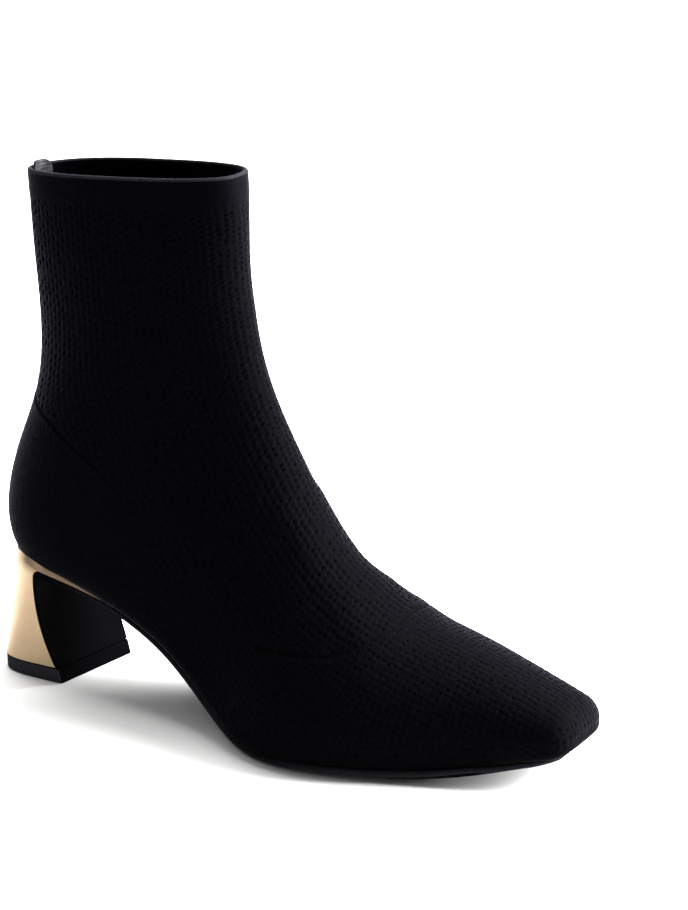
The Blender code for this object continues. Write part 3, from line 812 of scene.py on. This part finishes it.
def moulded_material(name, skin, painted_light_tone, roughness, grit):
    """Black rubber from a blasted mould: satin, with a fine even grit and faint scuffing, and paler where
    light is painted on, on the sole's lower edge and the top piece's sides. The grit, in mm, is 0.3 on the
    mould and is drawn coarser to show."""
    material = new_material(name, Specular_IOR_Level=0.003)
    where = add_node(material, "ShaderNodeTexCoord").outputs["Object"]
    grain = add_grain(material, where, grit * MM, detail=4.0, strength=0.3, depth=0.08 * MM)
    # Scuffs of some 14 mm polish the rubber a little or dull it
    scuffed = 14 * MM
    scuff = add_node(material, "ShaderNodeTexNoise", inputs={
        "Vector": where, "Scale": 1 / scuffed, "Detail": 6.0, "Roughness": 0.65})
    polished = roughness - 0.06
    dulled = roughness + 0.08
    add_node(material, "ShaderNodeMapRange", inputs={
        "Value": scuff.outputs["Fac"], "From Min": NOISE_SPAN[0], "From Max": NOISE_SPAN[1],
        "To Min": polished, "To Max": dulled}, outputs={"Result": "Roughness"})
    # The edge value marks where the painted light goes
    edge = add_node(material, "ShaderNodeAttribute", attribute_name="edge")
    ground = add_node(material, "ShaderNodeMix", data_type="RGBA", inputs={
        "Factor": edge.outputs["Fac"], MIX_A: skin, MIX_B: painted_light_tone})
    vary_colour(material, ground.outputs[MIX_RESULT], grain, tones=(0.85, 1.15))
    return material


def tape_material(colours):
    """Polyester satin tape, woven: dark grey with painted glints and shade where its floats turn to and from
    the light.
    """
    material = new_material(
        "polyester_satin_tape_woven", Roughness=0.42, Specular_IOR_Level=0.15, Sheen_Weight=0.05)
    on_tape = add_node(material, "ShaderNodeUVMap", uv_map="weave").outputs["UV"]
    # Threads are 0.4 mm apart; they are drawn 0.9 mm apart, and the picks wider still, to show
    thread = 0.9 * MM
    pick = 1.35 * MM
    add_threads(material, on_tape, (thread, pick), wander=(0.0, 0.0), strength=0.7, depth=0.12 * MM)
    # Glints and shade are painted into its colour in spots of some 4 mm
    painted_glint_spot = 4.0 * MM
    mottle = add_node(material, "ShaderNodeTexNoise", inputs={
        "Vector": on_tape, "Scale": 1 / painted_glint_spot, "Detail": 2.0})
    vary_colour(material, colours.tape[:3], mottle.outputs["Fac"], tones=(0.06, 2.8), span=(0.40, 0.62))
    return material


def sole_ribbon():
    """Hidden side of the outsole, from the toe to the heel seat and down the breast of the heel."""
    shares = spread(SOLE_COLUMNS)
    toe = -CAP_LENGTH * SOLE_TOE
    front, back = station_at(WING_FRONT_X), station_at(WING_BACK_X)
    turn = np.linspace(0, np.pi / 2, SOLE_TOE_ROWS + 1)[:-1]
    stations = np.concatenate([toe + SOLE_TOE_ROUND * (1 - np.cos(turn)),
                               np.linspace(toe + SOLE_TOE_ROUND, front, SOLE_ROWS),
                               np.linspace(front, back, WING_ROWS + 1)[1:]])
    reach = np.interp(stations, [toe, SOLE_FULL_EDGE, front],
                      [SOLE_EDGE_TOE, SOLE_EDGE_FOREFOOT, SOLE_EDGE_HEEL])
    reach[:SOLE_TOE_ROWS] *= SOLE_TOE_NARROW + (1 - SOLE_TOE_NARROW) * np.sin(turn)
    under = np.array([bottom_row(s, shares * r) for s, r in zip(stations, reach)])
    wing = WING_DEEP * np.clip((stations - front) / (back - front), 0, 1)
    under += outward(under) * (GAP + wing)[:, None, None]
    # The sole hooks round below the heel seat and runs down the hollow breast as a flap
    last = under[-1]
    centre = last[SOLE_COLUMNS // 2]
    heading = centre - under[-2][SOLE_COLUMNS // 2]
    start = np.arctan2(heading[2], heading[0]) - np.pi / 2
    stop = np.radians(180 + BREAST_TOP_LEAN)
    pivot = centre[[0, 2]] - HOOK_RADIUS * np.array([np.cos(start), np.sin(start)])
    angles = np.linspace(start, stop, HOOK_ROWS + 1)[1:]
    hook = [pivot + HOOK_RADIUS * np.array([np.cos(a), np.sin(a)]) for a in angles]
    lean = np.radians(BREAST_TOP_LEAN)
    bend = hook[-1] + BREAST_HOLLOW * np.array([np.sin(lean), -np.cos(lean)])
    foot = np.array([BREAST_FOOT_X, TOP_PIECE_THICK + GAP])
    shares_down = np.linspace(0, 1, BREAST_ROWS + 1)[1:]
    breast = [(1 - t) ** 2 * hook[-1] + 2 * t * (1 - t) * bend + t * t * foot for t in shares_down]
    path = np.array(hook + breast)
    run = np.cumsum(np.linalg.norm(np.diff(path, axis=0, prepend=[centre[[0, 2]]]), axis=1))
    crown = last - centre
    rows = []
    for point, share in zip(path, run / run[-1]):
        half = (1 - share) * crown[:, 1] + share * HEEL_BASE_HALF * shares
        middle = (1 - share) * centre[1] + share * HEEL_BASE_Y
        x = point[0] + crown[:, 0] * (1 - share) + HEEL_SKEW * share * half
        z = point[1] + crown[:, 2] * (1 - share)
        rows.append(np.stack([x, middle + half, z], axis=1))
    return np.concatenate([under, np.array(rows)]), stations


def heel_base(front):
    """Lateral and medial sides of the heel's base, each from an end of its straight front to the back."""
    turn = np.linspace(0, np.pi / 2, HEEL_SIDE_POINTS + 1)
    power = 2 / HEEL_SQUARE_BASE
    along = np.sin(turn) ** power
    across = np.cos(turn) ** power
    sides = []
    for end in (front[0], front[-1]):
        x = end[0] + (HEEL_BACK_X - end[0]) * along
        y = HEEL_BACK_Y + (end[1] - HEEL_BACK_Y) * across
        sides.append(np.stack([x, y], axis=1))
    return sides


def heel_seat(stations):
    """Top of the heel block under the upper, from the tip of its wing to the rounded back."""
    turn = np.linspace(0, np.pi / 2, HEEL_SIDE_POINTS + 1)[1:]
    power = 2 / HEEL_SQUARE_SEAT
    room = station_at(HEEL_SEAT_BACK_X) - stations[-1]
    along = np.concatenate([stations[-WING_ROWS:], stations[-1] + room * np.sin(turn) ** power])
    reach = np.concatenate([np.ones(WING_ROWS), np.maximum(np.cos(turn), SEAT_TIP) ** power])
    shares = spread(SOLE_COLUMNS) * SOLE_EDGE_HEEL
    seat = np.array([bottom_row(s, shares * r) for s, r in zip(along, reach)])
    seat += outward(seat) * GAP
    seat[-1] = seat[-1][SOLE_COLUMNS // 2]
    return seat


class BOOT_OT_knit(bpy.types.Operator):
    """Knit the upper: one sock with a plain welt that turns in over the collar."""

    bl_idname = "boot.knit"
    bl_label = "Knit Upper"

    def execute(self, context):
        knit = context.scene.boot_knit
        cap = -CAP_LENGTH * np.sin(np.linspace(np.pi / 2, 0, CAP_STATIONS + 1)[:-1]) ** (2 / TOE_PLAN_SQUARE)
        rim = LENGTH - WALL / 2
        stations = np.concatenate([cap, np.linspace(0, rim, int(rim / KNIT_STEP))])
        base, turns, lengths = shell(stations, HALF_COLUMNS)
        normals = ring_normals(base)
        # Besides the height, the knit gets its painted shade and seam lines, carried as the hollow value
        height, hollow = knit_relief(base, stations, turns, lengths, knit)
        grid = base + normals * height[..., None]

        # The collar's edge rolls over half a turn and the welt goes on inside
        rise = base[-1] - base[-2]
        rise /= np.linalg.norm(rise, axis=-1, keepdims=True)
        turn = np.linspace(0, np.pi, RIM_ROWS)[1:, None, None]
        roll = grid[-1] + WALL / 2 * (rise * np.sin(turn) - normals[-1] * (1 - np.cos(turn)))
        inside = np.searchsorted(stations, LENGTH - TURN_IN)
        tucked = (base - normals * WALL)[-2:inside:-TUCK_SKIP]
        grid = np.concatenate([grid, roll, tucked])
        extra = len(grid) - len(stations)
        hollow = np.concatenate([hollow, np.zeros((extra, hollow.shape[1]))])
        # The rows over the collar's edge get the painted highlight
        folded = np.zeros_like(hollow)
        folded[len(stations) - 1:len(stations) + RIM_ROWS - 2] = 1
        along = np.concatenate([stations, LENGTH + np.arange(1, extra + 1) * KNIT_STEP])

        share = np.linspace(-1, 1, grid.shape[1])
        around = share * np.where(share < 0, lengths[:, :1], lengths[:, 1:])
        around = np.concatenate([around, np.repeat(around[-1:], extra, axis=0)])
        places = np.stack(np.broadcast_arrays(around, along[:, None]), axis=-1) * MM
        places[:len(cap)] = np.stack(toe_lattice(base[:len(cap)]), axis=-1) * MM
        shaded = ring_normals(grid)
        first = np.searchsorted(along, station_at(OPENING_HEEL_X))
        lasting = np.arcsin(LASTING_EDGE ** (TABLE[:, COLUMNS.index("back_round")].mean() / 2)) * 2 / np.pi
        under = np.zeros((len(grid) - 1, grid.shape[1] - 1), dtype=bool)
        under[len(cap):first] = (turns[:first] < lasting)[len(cap):first, :-1]
        material = knit_material(context.scene.boot_colours)
        cuts = np.linspace(0, len(grid) - 1, len(KNIT_PIECES) + 1).astype(int)
        for name, start, stop in zip(KNIT_PIECES, cuts[:-1], cuts[1:]):
            part = slice(start, stop + 1)
            mesh = grid_mesh(name, grid[part], keep=~under[start:stop], normals=shaded[part],
                             maps={"OFBake": unit_map(stop + 1 - start, grid.shape[1]), "knit": places[part]},
                             values={"hollow": hollow[part], "fold": folded[part]})
            add_piece(mesh, material, "upper")
        return {"FINISHED"}


class BOOT_OT_lining(bpy.types.Operator):
    """Line the upper from the welt down to the toe."""

    bl_idname = "boot.lining"
    bl_label = "Line Upper"

    def execute(self, context):
        start = -CAP_LENGTH * LINING_TOE
        stop = LENGTH - TURN_IN + LINING_LAP
        base, _, _ = shell(np.linspace(start, stop, int(LENGTH / LINING_STEP)), LINING_COLUMNS)
        grid = base - ring_normals(base) * (WALL + LINING_CLEAR)
        mesh = grid_mesh("lining", grid[:, ::-1], maps={"OFBake": unit_map(*grid.shape[:2])})
        add_piece(mesh, lining_material(context.scene.boot_colours), "upper")
        return {"FINISHED"}


class BOOT_OT_insole(bpy.types.Operator):
    """Lay the insole with its cover inside."""

    bl_idname = "boot.insole"
    bl_label = "Lay Insole"

    def execute(self, context):
        shares = spread(INSOLE_COLUMNS)
        start, stop = station_at(INSOLE_TOE_X), station_at(INSOLE_HEEL_X)
        rows = []
        for turn in np.linspace(-np.pi / 2, np.pi / 2, INSOLE_ROWS)[1:-1]:
            reach = INSOLE_EDGE * np.cos(turn) ** (INSOLE_TOE_SQUARE if turn < 0 else INSOLE_HEEL_ROUND)
            s = (start + stop) / 2 + (stop - start) / 2 * np.sin(turn)
            rows.append(bottom_row(s, shares * reach))
        below = np.array(rows)
        inward = -outward(below)
        below = below + inward * (WALL + INSOLE_GAP)
        above = below + inward * INSOLE_THICK
        mesh = slab_mesh("insole_cover", above, below)
        finish_solid(mesh)
        material = insole_material(context.scene.boot_colours)
        add_piece(mesh, material, "insole", INSOLE_ROUNDING)
        return {"FINISHED"}


class BOOT_OT_sole(bpy.types.Operator):
    """Cut the outsole with its flap down the breast of the heel."""

    bl_idname = "boot.sole"
    bl_label = "Cut Sole"

    def execute(self, context):
        ribbon, stations = sole_ribbon()
        under_rows = len(stations)
        shares = spread(SOLE_COLUMNS)
        thick = np.full(len(ribbon), SOLE_FLAP)
        thick[:under_rows] = np.interp(stations / stations[-1], *zip(*SOLE_THICKNESS))
        feather = 1 - SOLE_FEATHER * np.abs(shares) ** SOLE_FEATHER_POWER
        visible = ribbon + outward(ribbon) * (thick[:, None] * feather[None, :])[:, :, None]
        visible[:under_rows, :, 2] = np.maximum(visible[:under_rows, :, 2] - TREAD_GRIND, 0)
        visible[-1, :, 2] = ribbon[-1, :, 2]
        mesh = slab_mesh("sole", ribbon, visible)
        # Its lower edge gets a painted highlight, up to where the wing of the heel starts
        edge = np.zeros((2, *ribbon.shape[:2]))
        edge[1][:, [0, -1]] = 1
        edge[1][0] = 1
        edge[1] *= (1 - ease(np.arange(len(ribbon)), under_rows - WING_ROWS, under_rows))[:, None]
        add_value(mesh, "edge", edge)
        finish_solid(mesh)
        colours = context.scene.boot_colours
        material = moulded_material(
            "thermoplastic_rubber_moulded", colours.sole, colours.painted_edge_highlight, roughness=0.62, grit=0.9)
        add_piece(mesh, material, "outsole", SOLE_ROUNDING)
        return {"FINISHED"}


# A face of the top piece whose normal points forward, up or down by this much isn't one of the sides that are
# painted as lit
FACING = 0.5


class BOOT_OT_heel(bpy.types.Operator):
    """Mould and plate the heel block and nail on its top piece."""

    bl_idname = "boot.heel"
    bl_label = "Make Heel"

    def execute(self, context):
        colours = context.scene.boot_colours
        ribbon, stations = sole_ribbon()
        self.block(ribbon, stations, plating_material(colours))
        self.top_piece(ribbon, moulded_material(
            "nitrile_rubber_moulded", colours.sole, colours.painted_lit_sides, roughness=0.60, grit=1.1))
        return {"FINISHED"}

    def block(self, ribbon, stations, material):
        """Block whose seat follows the upper and its front the sole's flap."""
        front = (ribbon - outward(ribbon) * GAP)[len(stations) - WING_ROWS:]
        front[-1, :, 2] = TOP_PIECE_THICK + GAP
        seat = heel_seat(stations)
        centre = np.concatenate([seat[WING_ROWS - 1:WING_ROWS], front[WING_ROWS - 1:]])[:, SOLE_COLUMNS // 2]
        run = np.cumsum(np.linalg.norm(np.diff(centre, axis=0), axis=1))
        wings = [np.stack([seat[:WING_ROWS, column], front[:WING_ROWS, column]]) for column in (0, -1)]
        walls = []
        for column, base in zip((0, -1), heel_base(front[-1])):
            top = seat[WING_ROWS - 1:, column]
            foot = np.column_stack([base, np.full(len(base), front[-1, 0, 2])])
            wall = [top]
            for depth, edge in zip(run / run[-1], front[WING_ROWS - 1:, column]):
                flare = np.array([depth ** HEEL_FLARE, depth ** HEEL_FLARE, depth])
                plain = top + (foot - top) * flare
                forward = (plain[:, :1] - plain[-1, 0]) / (plain[0, 0] - plain[-1, 0])
                wall.append(plain + forward ** HEEL_FRONT_PULL * (edge - plain[0]))
            walls.append(np.array(wall))
        points, faces = [], []
        for grid in [seat, np.concatenate([seat[:1], front]), *wings, *walls]:
            offset = sum(len(p) for p in points)
            points.append(grid.reshape(-1, 3))
            faces += (grid_quads(*grid.shape[:2]).reshape(-1, 4) + offset).tolist()
        outline = np.concatenate([walls[0][-1], walls[1][-1][-2::-1], front[-1, -2:0:-1]])
        offset = sum(len(p) for p in points)
        points.append(outline)
        faces.append(list(range(offset, offset + len(outline))))
        mesh = to_mesh("heel_plated", np.concatenate(points), faces)
        finish_solid(mesh)
        add_piece(mesh, material, "heel_block", HEEL_ROUNDING)

    def top_piece(self, ribbon, material):
        """Wearing piece under the heel, level with the block's sides and the flap's face."""
        foot = ribbon[-1].copy()
        foot[:, 0] += SOLE_FLAP
        loops = []
        for z, lean in ((TOP_PIECE_THICK, 0.0), (0.0, TOP_PIECE_LEAN)):
            lateral, medial = heel_base(foot + [lean, 0, 0])
            outline = np.concatenate([lateral, medial[-2::-1]])
            loops.append(np.column_stack([outline, np.full(len(outline), z)]))
        count = len(loops[0])
        sides = [[k, (k + 1) % count, (k + 1) % count + count, k + count] for k in range(count)]
        faces = sides + [list(range(count)), list(range(count, 2 * count))]
        mesh = to_mesh("heel_top_piece_moulded", np.concatenate(loops), faces)
        finish_solid(mesh)
        # Its sides are painted paler, as lit, than its front, which keeps the skin's plain black, as in shade
        painted_lit_sides = [max(face.normal.x, abs(face.normal.z)) < FACING for face in mesh.polygons]
        add_value(mesh, "edge", painted_lit_sides, "FACE")
        add_piece(mesh, material, "heel_top_piece", TOP_PIECE_ROUNDING)


class BOOT_OT_tab(bpy.types.Operator):
    """Sew the short tape inside the back of the collar."""

    bl_idname = "boot.tab"
    bl_label = "Sew Back Tab"

    def execute(self, context):
        shares = np.linspace(-1, 1, TAB_COLUMNS) * TAB_WIDTH / 2 / section(LENGTH)["lateral"]
        rim = bottom_row(LENGTH, shares)
        climb = rim - bottom_row(LENGTH - WELT_HEIGHT / 2, shares)
        climb /= np.linalg.norm(climb, axis=1, keepdims=True)
        width = np.linspace(0, TAB_WIDTH, TAB_COLUMNS)
        corner = np.clip(TAB_CORNER - np.minimum(width, TAB_WIDTH - width), 0, TAB_CORNER)
        top = TAB_RISE - TAB_CORNER + np.sqrt(TAB_CORNER ** 2 - corner ** 2)
        heights = np.linspace(-TAB_DROP, top, TAB_ROWS)
        outer = rim[None] + climb[None] * heights[..., None]
        normal = outward(outer)
        outer = outer - normal * (WALL + GAP)
        inner = outer - normal * TAB_THICK
        mesh = slab_mesh("back_tab_tape", outer, inner)
        places = np.stack(np.broadcast_arrays(width[None, :], heights), axis=-1).reshape(-1, 2) * MM
        add_map(mesh, "weave", np.concatenate([places, places]))
        finish_solid(mesh)
        add_piece(mesh, tape_material(context.scene.boot_colours), "back_tab", TAB_ROUNDING)
        return {"FINISHED"}


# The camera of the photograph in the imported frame, found from the heel's corners, the tread and the collar
CAMERA_PLACE = (0.51724, -0.84119, 0.4185)
CAMERA_AIM = (-0.4789, 0.8244, -0.3017)
CAMERA_LENS = 109.9
CAMERA_SENSOR = 36.0
FLOOR_REACH = 14.0
# Soft boxes: name, place, aim, width and height in metres, power in watts
SOFT_BOXES = (
    ("overhead", (0.10, 0.35, 1.50), (0.0, 0.0, 0.05), 1.6, 1.2, 26.0),
    ("toe_side", (1.05, 0.85, 0.75), (0.05, 0.0, 0.10), 1.1, 1.3, 200.0),
    ("heel_side", (-1.15, 0.30, 0.80), (-0.05, 0.0, 0.10), 0.7, 1.2, 5.0),
    ("front_fill", (-0.85, -0.55, 1.30), (-0.10, 0.0, 0.05), 0.9, 0.9, 3.0),
    ("background", (-1.60, 2.80, 3.50), (-1.60, 2.80, 0.0), 6.0, 4.0, 300.0),
)
WORLD_LIGHT = 0.22


class BOOT_OT_stage(bpy.types.Operator):
    """Set the pale floor, the soft boxes and the camera."""

    bl_idname = "boot.stage"
    bl_label = "Set Stage"

    def execute(self, context):
        scene = context.scene
        # Matt background paper: pale and even, with no shine
        material = new_material(
            "floor_paper_matt", Base_Color=scene.boot_colours.floor, Roughness=0.95, Specular_IOR_Level=0.1)
        mesh = bpy.data.meshes.new("floor")
        corners = [(x * FLOOR_REACH, y * FLOOR_REACH, 0) for x, y in ((-1, -1), (1, -1), (1, 1), (-1, 1))]
        mesh.from_pydata(corners, [], [(0, 1, 2, 3)])
        mesh.materials.append(material)
        floor = add_object("floor", mesh)

        for name, place_at, aim, width, height, power in SOFT_BOXES:
            light = bpy.data.lights.new(name, "AREA")
            light.shape = "RECTANGLE"
            light.size = width
            light.size_y = height
            light.energy = power
            lamp = add_object(name, light)
            lamp.location = place_at
            lamp.rotation_euler = (Vector(aim) - Vector(place_at)).to_track_quat("-Z", "Y").to_euler()

        world = bpy.data.worlds.new("studio")
        world.use_nodes = True
        background = world.node_tree.nodes["Background"]
        background.inputs["Color"].default_value = linear("#FFFFFF")
        background.inputs["Strength"].default_value = WORLD_LIGHT
        scene.world = world
        scene.view_settings.view_transform = "Standard"

        data = bpy.data.cameras.new("camera")
        data.sensor_fit = "AUTO"
        data.sensor_width = CAMERA_SENSOR
        data.lens = CAMERA_LENS
        camera = add_object("camera", data)
        rotation = Vector(CAMERA_AIM).to_track_quat("-Z", "Y").to_matrix().to_4x4()
        camera.matrix_world = Matrix.Translation(CAMERA_PLACE) @ rotation
        scene.camera = camera
        return {"FINISHED"}


class BOOT_PT_panel(bpy.types.Panel):
    """Lists the boot's sizes, colours and steps."""

    bl_idname = "BOOT_PT_panel"
    bl_label = "Elastic Ankle Boot"
    bl_space_type = "VIEW_3D"
    bl_region_type = "UI"
    bl_category = "Boot"

    def draw(self, context):
        for group in (context.scene.boot_knit, context.scene.boot_colours):
            box = self.layout.box()
            for name in group.__annotations__:
                box.prop(group, name)
        for operator in OPERATORS:
            self.layout.operator(operator.bl_idname)


OPERATORS = (BOOT_OT_stage, BOOT_OT_knit, BOOT_OT_lining, BOOT_OT_insole, BOOT_OT_sole, BOOT_OT_heel,
             BOOT_OT_tab)
CLASSES = (BootKnit, BootColours, *OPERATORS, BOOT_PT_panel)


def register():
    for cls in CLASSES:
        bpy.utils.register_class(cls)
    bpy.types.Scene.boot_knit = bpy.props.PointerProperty(type=BootKnit)
    bpy.types.Scene.boot_colours = bpy.props.PointerProperty(type=BootColours)


def unregister():
    del bpy.types.Scene.boot_colours
    del bpy.types.Scene.boot_knit
    for cls in reversed(CLASSES):
        bpy.utils.unregister_class(cls)


def main():
    register()
    bpy.ops.boot.stage()
    bpy.ops.boot.knit()
    bpy.ops.boot.lining()
    bpy.ops.boot.insole()
    bpy.ops.boot.sole()
    bpy.ops.boot.heel()
    bpy.ops.boot.tab()


if __name__ == "__main__":
    main()
